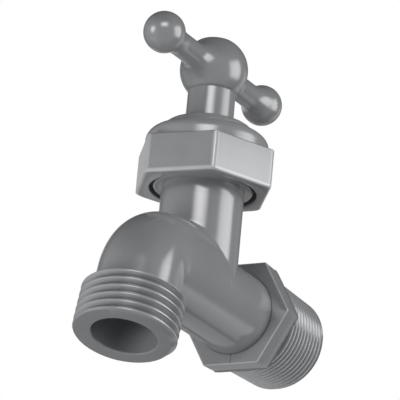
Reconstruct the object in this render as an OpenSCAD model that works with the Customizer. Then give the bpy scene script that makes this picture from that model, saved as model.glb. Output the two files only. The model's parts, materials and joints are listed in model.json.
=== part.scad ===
// Plastic hose bibb: a compression valve with a male pipe inlet and a male garden hose outlet.
// Origin on the inlet axis at the gauge plane of the pipe thread, +Y into the wall, +Z up the stem.

/* [Inlet] */
// Crest radius of the pipe thread at its gauge plane
pipe_r = 13.24; // [13.2:0.02:13.28]
// Pitch of the pipe thread
pipe_pitch = 1.814; // [1.8:0.002:1.82]
// From the gauge plane to the open end of the pipe thread
gauge_l = 8.6; // [8.2:0.1:9]
// Length of the pipe thread from the hexagon to its open end
pipe_l = 20.3; // [20:0.1:21]
// Width across the flats of the inlet hexagon
inlet_af = 27.6; // [27.2:0.1:28.4]
// Thickness of the inlet hexagon
inlet_hex_w = 6.5; // [5:0.5:8]
// From the stem axis to the front of the inlet hexagon
stem_to_hex = 22.7; // [21:0.1:26]
// Bore of the inlet
inlet_bore_r = 8.2; // [7.6:0.1:8.6]

/* [Body] */
// Outside radius of the barrel behind the seat
barrel_r = 11; // [10.8:0.1:11.4]
// Outside radius of the neck that holds the stem
neck_r = 10.9; // [10.6:0.1:11.2]
// Bore of the chamber above the seat
chamber_r = 8; // [7.8:0.1:8]
// Height of the chamber's floor
floor_z = 1.3; // [1:0.1:1.6]
// Radius of the hole in the seat
seat_hole_r = 5; // [4.5:0.1:5.4]
// Height of the seat's ring above the chamber's floor
seat_h = 1.5; // [1.2:0.1:1.8]

/* [Outlet] */
// Crest radius of the hose thread
hose_r = 13.45; // [13.3:0.05:13.5]
// Pitch of the hose thread
hose_pitch = 2.209; // [2.2:0.001:2.22]
// Crests on the hose thread
hose_crests = 6; // [5:1:6]
// Bore of the outlet
outlet_bore_r = 8.6; // [8.2:0.1:9]
// Outside radius of the spout where it bends
spout_r = 10.6; // [10.4:0.1:10.8]
// Radius of the spout's bend
bend_r = 12.5; // [12:0.1:13]
// From the stem axis forward to the start of the bend
bend_start = 16.4; // [16:0.1:17]
// Height of the spout above the inlet axis
spout_rise = 3.2; // [3:0.1:3.5]
// From the end of the bend to the mouth
spout_leg = 17.8; // [17:0.1:19]
// Forward lean of the mouth from straight down, in degrees
lean = 13.5; // [10:0.5:15]

/* [Bonnet] */
// Underside of the bonnet nut
nut_z = 26.1; // [26:0.1:26.4]
// Height of the nut's hexagon
nut_hex_h = 10.8; // [10.6:0.1:11]
// Width across the flats of the nut
nut_af = 33.3; // [33:0.1:34]
// Rounding of the nut's upright edges
nut_edge_r = 1.3; // [0.8:0.1:2]
// Angle of the nut as it was tightened, in degrees
nut_turn = 6.3; // [0:0.1:30]
// Height of the upright wall at the foot of the nut's dome
dome_wall = 1.8; // [1.4:0.1:2.2]
// Radius of the dome's shoulder
dome_r = 3.2; // [2.8:0.1:3.4]
// Height of the boss round the stem
boss_h = 2.9; // [2.7:0.1:3.1]

/* [Stem and handle] */
// Radius of the stem where it leaves the nut
stem_r = 6.3; // [6.2:0.05:6.4]
// Crest radius of the stem's thread
stem_thread_r = 7; // [6.9:0.05:7.1]
// Height of the ball in the middle of the handle
hub_z = 60.1; // [60:0.1:61]
// Radius of the ball in the middle of the handle
hub_r = 9; // [8.9:0.1:9.2]
// From the stem axis to the ball at each end of the handle
arm_l = 27.4; // [26:0.1:30]
// Radius of the balls at the ends of the handle
knob_r = 5.5; // [5:0.1:6]
// Radius of the handle's arms at their thinnest
arm_r = 3.3; // [3:0.1:3.6]
// Height of the arms above the middle of the hub
arm_rise = 0.3; // [0:0.1:0.5]

/* [Hidden] */
$fn = 96;

// Clearance round everything that turns or slides
run_gap = 0.05;
// Overshoot of every cutter past the face that it cuts
eps = 0.5;
thread_depth_pipe = 1.1;
thread_depth_hose = 1.38;
crest_flat = 0.3;
stem_back = stem_to_hex + inlet_hex_w + pipe_l - gauge_l;

// Valve chamber: the seat, and the wall between the inlet and the chamber
wall = 3;
inlet_edge_r = 0.5;
seat_z = floor_z + seat_h;
seat_r = seat_hole_r + 1.6;
partition_z = floor_z - 2.5;
spout_bore_r = 7.5;
spout_flare = 0.25;
// The leg reaches back into the bend and is a hair wider, so that the two join cleanly
leg_overlap = 0.3;
leg_step = 0.05;
neck_bore_r = 8.6;
neck_step_z = 17;

// The neck's threaded head, inside the nut
head_z = 26.4;
head_collar_h = 1.6;
head_top = 36.2;
head_r = 13.2;
head_pitch = 2.2;
head_thread_h = 0.8;
head_crests = 3;
head_first = head_z + head_collar_h + 1.7;
pocket_r = 10.7;
pocket_z = 30.6;
gasket_h = 1.4;

// Bushing, from its lower end to its top inside the nut
bushing_z = 18;
bushing_stop_z = 31.6;
shoulder_z = pocket_z + gasket_h;
shoulder_top = 37.4;
slip_h = 0.8;
tower_r = 9.3;
tower_top = 42.6;

// Nut
nut_mouth_r = 14.1;
nut_mouth_h = 2.2;
nut_top = nut_z + nut_hex_h;
dome_out_r = nut_af / 2 - 0.4;
dome_slope = 15;
boss_foot_r = 12.05;
// Where the shoulder ends and the sloping top begins, then the top's height at the foot of the boss
shoulder_in_r = dome_out_r - dome_r + dome_r * sin(dome_slope);
shoulder_in_z = nut_top + dome_wall + dome_r * cos(dome_slope);
boss_foot_z = shoulder_in_z + (shoulder_in_r - boss_foot_r) * tan(dome_slope);
nut_ceiling = 43.2;
nut_hole_r = stem_r + 0.3;

// Stem, from its tip in the disc holder to the drive square in the handle
tip_z = 9.1;
tip_r = 3.2;
journal_z = 12.7;
journal_r = 4.8;
stem_thread_z = 15.6;
stem_thread_top = 26.4;
stem_pitch = 2.5;
o_ring_z = [33, 35.8];
o_ring_wire = 0.9;
collar_top = hub_z - sqrt(hub_r * hub_r - stem_r * stem_r);
square_w = 7;
square_top = hub_z + 1.6;

// Disc holder, washer and the screw that holds it
washer_r = 6.9;
washer_h = 3;
cup_r = 7.6;
cup_top = 8.2;
cup_rim_h = 1.8;
holder_hub_r = 5.6;
holder_top = 12.6;
retainer_r = 3.9;
retainer_h = 0.6;
washer_screw_r = 1.6;
clip_z = 10.9;
clip_wire = 0.45;

// Handle screw
screw_r = 2;
screw_head_r = 3.5;
screw_head_h = 2;
screw_washer_h = 0.7;
recess_r = 4.3;
recess_z = hub_z + 3.4;

// Points of an arc in the plane, from one angle to another
function arc(cx, cy, r, from, to, steps) =
    [for (i = [0 : steps]) let (a = from + (to - from) * i / steps) [cx + r * cos(a), cy + r * sin(a)]];

// Outline of a hexagon with round corners, corners on the X axis
function round_hex(af, r) =
    [for (k = [0 : 5]) each arc((af / 2 - r) / cos(30) * cos(60 * k), (af / 2 - r) / cos(30) * sin(60 * k),
                                r, 60 * k - 30, 60 * k + 30, 6)];

// Profile of a row of thread crests up the axis, each at its own radius
// first is the middle of the lowest crest, and taper the radius lost per unit of height
function crest_points(r, pitch, depth, first, count, taper) =
    [for (k = [0 : count - 1])
        let (z = first + k * pitch, top = r - taper * z, flank = depth * tan(30) + crest_flat / 2)
        each [[top - depth, z - flank], [top, z - crest_flat / 2],
              [top, z + crest_flat / 2], [top - depth, z + flank]]];

module on_stem() {
    translate([0, -stem_back, 0]) children();
}

// Points along +Y
module along_y() {
    rotate([-90, 0, 0]) children();
}

// The bend's centre, with the sweep starting straight up and turning forward
module at_bend() {
    translate([0, -bend_start, spout_rise - bend_r]) rotate(a = 180, v = [1, 0, 1]) children();
}

// Origin at the middle of the mouth, +Z out of the mouth
module at_mouth() {
    translate([0, -bend_start - bend_r * cos(lean) - spout_leg * sin(lean),
               spout_rise - bend_r + bend_r * sin(lean) - spout_leg * cos(lean)])
        rotate([180 - lean, 0, 0]) children();
}

module ring(r_out, r_in, h) {
    difference() {
        cylinder(r = r_out, h = h);
        translate([0, 0, -eps]) cylinder(r = r_in, h = h + 2 * eps);
    }
}

module o_ring(r_mid, wire) {
    rotate_extrude() translate([r_mid, 0]) circle(r = wire, $fn = 32);
}

// Solid with thread crests from a lower plane to an upper one
module threaded_bar(r, pitch, depth, first, count, taper, low, high) {
    points = crest_points(r, pitch, depth, first, count, taper);
    rotate_extrude()
        polygon(concat([[0, low], [points[0][0], low]], points,
                       [[points[len(points) - 1][0], high], [0, high]]));
}

module pipe_thread() {
    low = -pipe_l + gauge_l;
    crests = 10;
    // the thread starts a little way off the hexagon
    first = -5 * pipe_pitch;
    threaded_bar(pipe_r, pipe_pitch, thread_depth_pipe, first, crests, 1 / 32, low - eps, gauge_l);
}

// The first crest meets the bevel at the mouth, and the last one falls away to the spout
module hose_thread() {
    bevel = 0.4;
    points = crest_points(hose_r, hose_pitch, thread_depth_hose, bevel + crest_flat / 2, hose_crests, 0);
    last = len(points) - 1;
    row = [for (i = [1 : last - 1]) points[i]];
    // measured back from the mouth, so the profile is turned over
    rotate([180, 0, 0]) rotate_extrude()
        polygon(concat([[0, 0], [hose_r - bevel, 0]], row,
                       [[spout_r - 0.4, points[last][1] + 0.9], [0, points[last][1] + 0.9]]));
}

module spout_outside() {
    along_y() translate([0, -spout_rise, -bend_start])
        cylinder(r1 = spout_r, r2 = spout_r + spout_flare, h = bend_start);
    at_bend() rotate_extrude(angle = 90 - lean) translate([bend_r, 0]) circle(r = spout_r);
    at_mouth() translate([0, 0, -spout_leg - leg_overlap]) cylinder(r = spout_r + leg_step, h = spout_leg);
    at_mouth() hose_thread();
}

module spout_inside() {
    // the spout's bore opens on the chamber above the floor only, so that the seat keeps its wall
    opening = chamber_r + 1.2;
    intersection() {
        along_y() translate([0, -spout_rise, -opening - 0.01]) cylinder(r = spout_bore_r, h = opening + 0.01);
        translate([-chamber_r, -opening - 1, floor_z]) cube([2 * chamber_r, opening + 1, chamber_r * 2]);
    }
    along_y() translate([0, -spout_rise, -bend_start]) cylinder(r = spout_bore_r, h = bend_start - opening);
    at_bend() rotate_extrude(angle = 90 - lean) translate([bend_r, 0]) circle(r = spout_bore_r);
    at_mouth() translate([0, 0, -spout_leg - leg_overlap]) {
        cylinder(r1 = spout_bore_r + leg_step, r2 = outlet_bore_r, h = 3);
        translate([0, 0, 3]) cylinder(r = outlet_bore_r, h = spout_leg);
    }
}

module inlet_inside() {
    full = chamber_r + wall;
    deep = seat_hole_r + 1.2;
    along_y() translate([0, 0, full]) cylinder(r = inlet_bore_r, h = stem_back + gauge_l - full + eps);
    // under the seat the passage keeps only its lower part
    intersection() {
        along_y() translate([0, 0, -deep]) cylinder(r = inlet_bore_r, h = deep + full + 0.01);
        translate([-inlet_bore_r, -deep - 1, -inlet_bore_r - 1])
            cube([2 * inlet_bore_r, deep + full + 2, inlet_bore_r + 1 + partition_z]);
    }
}

module neck_outside() {
    cylinder(r = neck_r, h = head_z + 1);
    translate([0, 0, head_z]) cylinder(r = head_r - 0.1, h = head_collar_h);
    threaded_bar(head_r, head_pitch, head_thread_h, head_first, head_crests, 0, head_z + 1, head_top);
}

module neck_inside() {
    translate([0, 0, floor_z]) cylinder(r = chamber_r, h = neck_step_z - floor_z + 0.01);
    translate([0, 0, neck_step_z]) cylinder(r = neck_bore_r, h = head_top - neck_step_z + eps);
    translate([0, 0, pocket_z]) cylinder(r = pocket_r, h = head_top - pocket_z + eps);
}

module seat_ring() {
    round = 0.4;
    translate([0, 0, floor_z - 0.2]) rotate_extrude()
        polygon(concat([[seat_hole_r, 0], [seat_r + 0.8, 0]],
                       arc(seat_r - round, seat_h + 0.2 - round, round, 0, 90, 5),
                       arc(seat_hole_r + round, seat_h + 0.2 - round, round, 90, 180, 5)));
}

module inlet_hex() {
    chamfer = 0.35;
    corner_r = inlet_af / 2 / cos(30);
    along_y() intersection() {
        linear_extrude(height = inlet_hex_w) polygon(round_hex(inlet_af, inlet_edge_r));
        rotate_extrude() polygon([[0, 0], [corner_r, 0], [corner_r, inlet_hex_w - chamfer],
                                  [corner_r - 2 * chamfer, inlet_hex_w], [0, inlet_hex_w]]);
    }
}

module valve_body() {
    barrel_front = 20;
    color([0.5, 0.505, 0.515]) difference() {
        union() {
            on_stem() {
                neck_outside();
                spout_outside();
                along_y() translate([0, 0, -barrel_front])
                    cylinder(r = barrel_r, h = barrel_front + stem_to_hex + 1);
                translate([0, -barrel_front, 0]) sphere(r = barrel_r);
                translate([0, stem_to_hex, 0]) inlet_hex();
            }
            along_y() pipe_thread();
        }
        on_stem() {
            difference() {
                union() {
                    neck_inside();
                    spout_inside();
                }
                seat_ring();
            }
            inlet_inside();
            translate([0, 0, partition_z - wall]) cylinder(r = seat_hole_r, h = wall * 2 + seat_h);
        }
    }
}

// The nut's outline above its hexagon: a short wall, a round shoulder, a sloping top, then the boss
// full below 1 gives the boss a fuller round than an ellipse
function dome_points() =
    let (flat_r = 4.8, full = 0.87)
    concat([[dome_out_r, nut_top - 1]],
           arc(dome_out_r - dome_r, nut_top + dome_wall, dome_r, 0, 90 - dome_slope, 8),
           [for (i = [0 : 8]) let (a = 90 * i / 8)
               [flat_r + (boss_foot_r - flat_r) * pow(cos(a), full),
                boss_foot_z + boss_h * pow(sin(a), full)]]);

module nut_outside() {
    bevel = 0.5;
    intersection() {
        translate([0, 0, nut_z]) rotate(nut_turn) linear_extrude(height = nut_hex_h)
            polygon(round_hex(nut_af, nut_edge_r));
        rotate_extrude() polygon([[0, nut_z], [nut_af / 2 + 1.9, nut_z], [nut_af / 2 + 4, nut_z + bevel * 2],
                                  [nut_af / 2 + 4, nut_top], [0, nut_top]]);
    }
    rotate_extrude() polygon(concat([[0, nut_top - 1]], dome_points(), [[0, boss_foot_z + boss_h]]));
}

module bonnet_nut() {
    color([0.53, 0.535, 0.545]) on_stem() difference() {
        nut_outside();
        translate([0, 0, nut_z - eps]) cylinder(r = nut_mouth_r, h = nut_mouth_h + eps);
        threaded_bar(head_r + 0.12, head_pitch, head_thread_h, head_first, head_crests, 0,
                     nut_z, shoulder_top + slip_h);
        translate([0, 0, shoulder_top]) cylinder(r = tower_r + 0.2, h = nut_ceiling - shoulder_top);
        translate([0, 0, nut_ceiling - eps]) cylinder(r = nut_hole_r, h = 10);
    }
}

module stem_bushing() {
    color([0.86, 0.85, 0.8]) on_stem() difference() {
        rotate_extrude() polygon([[0, bushing_z], [neck_bore_r - 0.9, bushing_z],
                                  [neck_bore_r - 0.1, bushing_z + 1.2],
                                  [neck_bore_r - 0.1, shoulder_z], [pocket_r - 0.1, shoulder_z],
                                  [pocket_r - 0.1, shoulder_top], [tower_r, shoulder_top],
                                  [tower_r, tower_top - 0.6], [tower_r - 0.6, tower_top], [0, tower_top]]);
        translate([0, 0, bushing_z - eps])
            cylinder(r = stem_thread_r + run_gap, h = bushing_stop_z - bushing_z + eps);
        translate([0, 0, bushing_stop_z - 0.01]) cylinder(r = stem_r + run_gap, h = tower_top);
    }
}

module bushing_gasket() {
    color([0.1, 0.1, 0.1]) on_stem() translate([0, 0, pocket_z])
        ring(pocket_r - 0.1, neck_bore_r + 0.1, gasket_h);
}

module slip_ring() {
    color([0.9, 0.9, 0.88]) on_stem() translate([0, 0, shoulder_top])
        ring(pocket_r + 1.2, tower_r + 0.1, slip_h);
}

module stem() {
    ridge_h = stem_thread_top - stem_thread_z;
    crests = floor((ridge_h - 1) / stem_pitch);
    color([0.5, 0.505, 0.515]) on_stem() difference() {
        union() {
            translate([0, 0, tip_z]) cylinder(r1 = tip_r - 0.5, r2 = tip_r, h = 0.6);
            translate([0, 0, tip_z + 0.6]) cylinder(r = tip_r, h = journal_z - tip_z);
            translate([0, 0, journal_z]) cylinder(r = journal_r, h = stem_thread_z - journal_z + 0.1);
            threaded_bar(stem_thread_r, stem_pitch, 0.9, stem_thread_z + 0.9, crests, 0,
                         stem_thread_z, stem_thread_top);
            translate([0, 0, stem_thread_z + 8]) cylinder(r = stem_r - 0.2, h = 4);
            translate([0, 0, stem_thread_top - 0.6]) cylinder(r = stem_thread_r, h = 0.6);
            translate([0, 0, stem_thread_top - 0.1])
                cylinder(r = stem_r, h = collar_top - stem_thread_top + 0.1);
            translate([-square_w / 2, -square_w / 2, collar_top - 0.1])
                cube([square_w, square_w, square_top - collar_top + 0.1]);
        }
        for (z = o_ring_z) translate([0, 0, z - o_ring_wire])
            ring(stem_r + 1, stem_r - 1.75, 2 * o_ring_wire);
        translate([0, 0, clip_z]) o_ring(tip_r, clip_wire);
        translate([0, 0, square_top - 9]) cylinder(r = screw_r, h = 9 + eps);
    }
}

module stem_o_ring(z) {
    color([0.08, 0.08, 0.08]) on_stem() translate([0, 0, z]) o_ring(stem_r - 0.85, o_ring_wire - 0.02);
}

module stem_o_ring_lower() {
    stem_o_ring(o_ring_z[0]);
}

module stem_o_ring_upper() {
    stem_o_ring(o_ring_z[1]);
}

// Open spring ring that snaps the disc holder to the stem's tip
module disc_clip() {
    color([0.75, 0.76, 0.78]) on_stem() translate([0, 0, clip_z]) rotate(30)
        rotate_extrude(angle = 300) translate([tip_r, 0]) circle(r = clip_wire, $fn = 24);
}

module disc_holder() {
    color([0.86, 0.85, 0.8]) on_stem() difference() {
        union() {
            translate([0, 0, seat_z + washer_h - cup_rim_h])
                cylinder(r = cup_r, h = cup_top - seat_z - washer_h + cup_rim_h);
            translate([0, 0, cup_top - 0.1]) cylinder(r1 = cup_r - 0.8, r2 = holder_hub_r, h = 1.4);
            translate([0, 0, cup_top]) cylinder(r = holder_hub_r, h = holder_top - cup_top);
        }
        translate([0, 0, seat_z - eps]) cylinder(r = washer_r, h = washer_h + eps);
        translate([0, 0, tip_z - 0.1]) cylinder(r = tip_r + run_gap, h = holder_top);
        translate([0, 0, clip_z]) o_ring(tip_r, clip_wire + run_gap);
        translate([0, 0, seat_z]) cylinder(r = washer_screw_r, h = tip_z - seat_z - 0.6);
    }
}

module seat_washer() {
    color([0.08, 0.08, 0.08]) on_stem() translate([0, 0, seat_z + 0.02])
        ring(washer_r, washer_screw_r, washer_h - 0.02);
}

module washer_retainer() {
    color([0.78, 0.79, 0.8]) on_stem() translate([0, 0, seat_z + 0.02 - retainer_h])
        ring(retainer_r, washer_screw_r, retainer_h);
}

module washer_screw() {
    head_h = 1.5;
    color([0.75, 0.62, 0.32]) on_stem() translate([0, 0, seat_z + 0.02 - retainer_h]) difference() {
        union() {
            translate([0, 0, -head_h]) cylinder(r1 = 2.1, r2 = 2.9, h = head_h);
            cylinder(r = washer_screw_r, h = tip_z - seat_z + retainer_h - 0.8);
        }
        translate([-4, -0.35, -head_h - eps]) cube([8, 0.7, 0.7 + eps]);
    }
}

// Along the arm from a ball's centre to the centre of a round that touches the ball and the arm
function round_y(ball, round) = sqrt(pow(ball + round, 2) - pow(arm_r + round, 2));

// In the profile x is the distance from the arm's axis and y runs out along the arm
module handle_arm() {
    inner = 7;
    outer = 12;
    y_in = round_y(hub_r, inner);
    y_out = arm_l - round_y(knob_r, outer);
    rotate_extrude() difference() {
        polygon([[0, 0], [arm_r + inner, y_in], [arm_r, y_in],
                 [arm_r, y_out], [arm_r + outer, y_out], [0, arm_l]]);
        translate([arm_r + inner, y_in]) circle(r = inner);
        translate([arm_r + outer, y_out]) circle(r = outer);
    }
    translate([0, 0, arm_l]) sphere(r = knob_r);
}

module handle() {
    color([0.5, 0.505, 0.515]) on_stem() difference() {
        translate([0, 0, hub_z]) {
            sphere(r = hub_r);
            for (side = [0, 180]) rotate(side) translate([0, 0, arm_rise]) along_y() handle_arm();
        }
        translate([0, 0, collar_top - 10]) cylinder(r = hub_r * 2, h = 10);
        translate([-square_w / 2, -square_w / 2, collar_top - 1])
            cube([square_w, square_w, square_top + 0.4 - collar_top + 1]);
        translate([0, 0, square_top]) cylinder(r = screw_r + 0.2, h = recess_z - square_top + eps);
        translate([0, 0, recess_z]) cylinder(r = recess_r, h = hub_r);
    }
}

module handle_screw() {
    color([0.75, 0.76, 0.78]) on_stem() difference() {
        union() {
            translate([0, 0, square_top - 8])
                cylinder(r = screw_r, h = recess_z + screw_washer_h - square_top + 8);
            translate([0, 0, recess_z + screw_washer_h]) intersection() {
                cylinder(r = screw_head_r, h = screw_head_h);
                translate([0, 0, screw_head_h - screw_head_r * 1.25]) sphere(r = screw_head_r * 1.25);
            }
        }
        for (a = [0, 90]) translate([0, 0, recess_z + screw_washer_h + screw_head_h]) rotate(a)
            cube([4, 0.9, 2.4], center = true);
    }
}

module handle_screw_washer() {
    color([0.75, 0.76, 0.78]) on_stem() translate([0, 0, recess_z])
        ring(recess_r - 0.3, screw_r + 0.1, screw_washer_h);
}

valve_body();
bonnet_nut();
stem_bushing();
bushing_gasket();
slip_ring();
stem();
stem_o_ring_lower();
stem_o_ring_upper();
disc_clip();
disc_holder();
seat_washer();
washer_retainer();
washer_screw();
handle();
handle_screw();
handle_screw_washer();
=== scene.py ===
import json

import bmesh
import bpy
import numpy as np
from mathutils import Matrix, Vector

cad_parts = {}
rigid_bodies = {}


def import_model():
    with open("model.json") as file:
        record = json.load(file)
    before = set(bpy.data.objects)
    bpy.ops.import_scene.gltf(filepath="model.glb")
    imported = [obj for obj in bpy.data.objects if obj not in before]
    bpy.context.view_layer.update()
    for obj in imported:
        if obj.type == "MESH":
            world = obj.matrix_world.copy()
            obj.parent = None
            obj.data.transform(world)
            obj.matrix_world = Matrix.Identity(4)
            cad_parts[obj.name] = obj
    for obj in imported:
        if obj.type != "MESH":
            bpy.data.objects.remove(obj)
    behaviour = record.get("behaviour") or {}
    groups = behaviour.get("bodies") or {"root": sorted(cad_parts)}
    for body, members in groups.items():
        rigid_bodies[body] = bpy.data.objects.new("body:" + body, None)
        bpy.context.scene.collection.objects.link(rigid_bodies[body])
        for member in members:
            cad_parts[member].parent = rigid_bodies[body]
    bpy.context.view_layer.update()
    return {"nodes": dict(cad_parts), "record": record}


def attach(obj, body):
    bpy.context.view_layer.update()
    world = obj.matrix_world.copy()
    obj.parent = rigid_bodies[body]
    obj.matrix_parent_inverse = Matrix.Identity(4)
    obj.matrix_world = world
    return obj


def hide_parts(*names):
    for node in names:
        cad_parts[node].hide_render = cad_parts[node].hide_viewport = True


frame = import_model()
print("frame loaded")

# Lengths are in mm from the inlet axis at the pipe thread's gauge plane, and turn into metres in gridObject
mm = 0.001
fullTurn = 2 * np.pi
stemBack = 40.9  # from the gauge plane to the stem's axis
sharpFrom = 32  # degrees between two faces from which their edge stays sharp
scratch = bpy.data.collections.new("scratch")
bpy.context.scene.collection.children.link(scratch)


# Shapes

def arc(centreX, centreY, radius, fromDegrees, toDegrees, steps):
    # Points of an arc: centre + radius * (cos, sin) of the angle
    angle = np.radians(np.linspace(fromDegrees, toDegrees, steps + 1))
    return np.stack([centreX + radius * np.cos(angle), centreY + radius * np.sin(angle)], 1)


def dense(points, step):
    # The same line with extra points, no further apart than the step
    points = np.asarray(points, float)
    counts = np.maximum(np.ceil(np.linalg.norm(np.diff(points, axis=0), axis=1) / step), 1).astype(int)
    pieces = [np.linspace(a, b, n, endpoint=False) for a, b, n in zip(points[:-1], points[1:], counts)]
    return np.concatenate(pieces + [points[-1:]])


def softened(points, radii):
    # The line with each corner turned into a short curve that starts and ends one tangent length away
    nearlyStraight = 1.55  # half the corner's angle in radians
    points = np.asarray(points, float)
    made = [points[:1]]
    for before, corner, after, radius in zip(points[:-2], points[1:-1], points[2:], radii):
        towards = [before - corner, after - corner]
        lengths = [np.linalg.norm(v) for v in towards]
        towards = [v / n for v, n in zip(towards, lengths)]
        half = np.arccos(np.clip(towards[0] @ towards[1], -1, 1)) / 2
        if radius == 0 or half > nearlyStraight:
            made.append(corner[None])
            continue
        reach = min(radius / np.tan(half), 0.49 * min(lengths))  # short of the middle of either side
        share = np.linspace(0, 1, 6)[:, None]
        start, end = corner + towards[0] * reach, corner + towards[1] * reach
        made.append((1 - share) ** 2 * start + 2 * share * (1 - share) * corner + share ** 2 * end)
    return np.concatenate(made + [points[-1:]])


def roundTurn(columns):
    # Angles once round, with the first repeated at the end, where the doubles merge
    return np.linspace(0, fullTurn, columns + 1)


def turned(profile, angles):
    # Profile of (radius, height) carried round the Z axis: (r cos a, r sin a, z)
    radius, height, angle = profile[:, :1], profile[:, 1:], angles[None]
    return np.stack([radius * np.cos(angle), radius * np.sin(angle), height + 0 * angle], -1)


def revolved(points, columns):
    # A list of (radius, height) carried once round the Z axis
    return turned(np.array(points, float), roundTurn(columns))


def squarePrism(halfWidth, low, high):
    # A square carried up from one height to the other, its ends closed at the axis
    right, left = halfWidth, -halfWidth
    corners = np.array([[right, left], [right, right], [left, right], [left, left], [right, left]])
    heights = np.array([low, high])[:, None, None] + np.zeros((2, 5, 1))
    square = np.concatenate([np.repeat(corners[None], 2, 0), heights], -1)
    poles = np.concatenate([np.zeros((2, 5, 2)), heights], -1)
    return np.concatenate([poles[:1], square, poles[1:]])


def roundCorner(halfFlats, cornerRound):
    # A hexagon's round corner: its centre's distance from the axis, and half the angle that it takes up
    centre = (halfFlats - cornerRound) / np.cos(np.pi / 6)
    return centre, np.arctan2(cornerRound * 0.5, centre + cornerRound * np.cos(np.pi / 6))


def hexRadius(halfFlats, cornerRound, angle):
    # Distance from the axis to a hexagon with round corners, corners at multiples of 60 degrees
    fromCorner = np.mod(angle + np.pi / 6, np.pi / 3) - np.pi / 6
    centre, edge = roundCorner(halfFlats, cornerRound)
    onFlat = halfFlats / np.cos(np.pi / 6 - np.abs(fromCorner))
    across = centre * np.sin(fromCorner)
    onRound = centre * np.cos(fromCorner) + np.sqrt(np.clip(cornerRound ** 2 - across ** 2, 0, None))
    return np.where(np.abs(fromCorner) > edge, onFlat, onRound)


def hexAngles(halfFlats, cornerRound, startAngle):
    # Angles once round, close together at the round corners
    edge = roundCorner(halfFlats, cornerRound)[1]
    corner = np.linspace(-edge, edge, 9)
    flat = np.linspace(edge, np.pi / 3 - edge, 14)[1:-1]
    side = np.concatenate([corner, flat])
    return startAngle + np.append((np.arange(6)[:, None] * np.pi / 3 + side).ravel(), fullTurn - edge)


def softLower(a, b, width):
    # The lower of two values, with the step between them rounded over the width
    near = np.clip(width - np.abs(a - b), 0, None) / width
    return np.minimum(a, b) - near ** 2 * width / 4


def tooth(phase, pitch, flat, flank):
    # Height of a thread's ridge from 0 to 1: flat at crest and root, a little rounded next to the flanks
    soft = 0.05
    away = np.abs(np.mod(phase + pitch / 2, pitch) - pitch / 2)
    rise = (flat + flank - away) / flank
    return (np.sqrt(rise ** 2 + soft ** 2) - np.sqrt((rise - 1) ** 2 + soft ** 2) + 1) / 2


def threadGrid(thread, radiusAt):
    # A right-handed ridge: rows rise by one pitch a turn along its crest, held between the two ends
    # radiusAt(height, ridge) gives the radius from the ridge's height of 0 to 1
    pitch, low, high, columns = thread["pitch"], thread["low"], thread["high"], thread["columns"]
    crestAt, beside = thread["crestAt"], 0.07
    flat, flank = thread["crestFlat"] / 2, thread["depth"] * np.tan(np.pi / 6)  # flanks lean 30 degrees
    corners = np.array([-flat - flank, -flat, flat, flat + flank])
    stops = (corners[:, None] + np.array([-beside, 0, beside])).ravel()
    turns = np.arange(np.floor((low - crestAt) / pitch) - 1, np.ceil((high - crestAt) / pitch) + 1)
    rows = np.sort(np.add.outer(turns * pitch, stops).ravel()) + crestAt
    angle = roundTurn(columns)[None]
    height = np.clip(rows[:, None] + pitch * angle / fullTurn, low, high)
    ridge = tooth(height - pitch * angle / fullTurn - crestAt, pitch, flat, flank)
    radius = radiusAt(height, ridge)
    grid = np.stack([radius * np.cos(angle), radius * np.sin(angle), height], -1)
    ends = np.zeros((1, columns + 1, 3))
    return np.concatenate([ends + [0, 0, low], grid, ends + [0, 0, high]])


def onStem(points):
    # From the stem's axis to the frame's origin
    return points + [0, -stemBack, 0]


def alongY(points):
    # Local Z turned to +Y, as a pipe goes into the wall
    return np.stack([points[..., 0], points[..., 2], -points[..., 1]], -1)


def merged(mesh):
    # Closes the poles and seams of a grid, and turns its faces outwards
    work = bmesh.new()
    work.from_mesh(mesh)
    bmesh.ops.remove_doubles(work, verts=work.verts, dist=2e-6)
    bmesh.ops.dissolve_degenerate(work, edges=work.edges, dist=1e-7)
    bmesh.ops.recalc_face_normals(work, faces=work.faces)
    work.to_mesh(mesh)
    work.free()


def gridObject(name, points):
    # A closed surface from rows and columns of points in mm, kept aside until the pieces are put together
    rows, columns = points.shape[:2]
    index = np.arange(rows * columns).reshape(rows, columns)
    quads = np.stack([index[:-1, :-1], index[:-1, 1:], index[1:, 1:], index[1:, :-1]], -1).reshape(-1, 4)
    mesh = bpy.data.meshes.new(name)
    mesh.from_pydata(points.reshape(-1, 3) * mm, [], quads)
    merged(mesh)
    made = bpy.data.objects.new(name, mesh)
    scratch.objects.link(made)
    return made


def combine(base, others, operation):
    # Joins solids to the base, or cuts them from it
    for other in others:
        step = base.modifiers.new(operation.lower(), "BOOLEAN")
        step.operation = operation
        step.solver = "MANIFOLD"
        step.object = other
    bpy.context.view_layer.update()
    made = bpy.data.meshes.new_from_object(base.evaluated_get(bpy.context.evaluated_depsgraph_get()))
    base.modifiers.clear()
    base.data = made
    for other in others:
        bpy.data.objects.remove(other)


def finishPiece(piece, body, slot, *replaced):
    # Smooth but for its sharp edges, on its body, in place of the solids that it stands for
    scratch.objects.unlink(piece)
    bpy.context.scene.collection.objects.link(piece)
    bpy.context.view_layer.update()
    bpy.ops.object.select_all(action="DESELECT")
    piece.select_set(True)
    bpy.context.view_layer.objects.active = piece
    bpy.ops.object.shade_smooth_by_angle(angle=np.radians(sharpFrom))
    piece.data.materials.clear()
    piece.data.materials.append(finishes[slot])
    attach(piece, body)
    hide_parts(*replaced)
    print(piece.name, len(piece.data.polygons), "faces")


# Materials

def computed(tree, operation, *values):
    # A Math node whose inputs are plain numbers or other nodes' outputs
    step = tree.nodes.new("ShaderNodeMath")
    step.operation = operation
    for socket, value in zip(step.inputs, values):
        if isinstance(value, (int, float)):
            socket.default_value = value
        else:
            tree.links.new(value, socket)
    return step.outputs[0]


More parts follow.
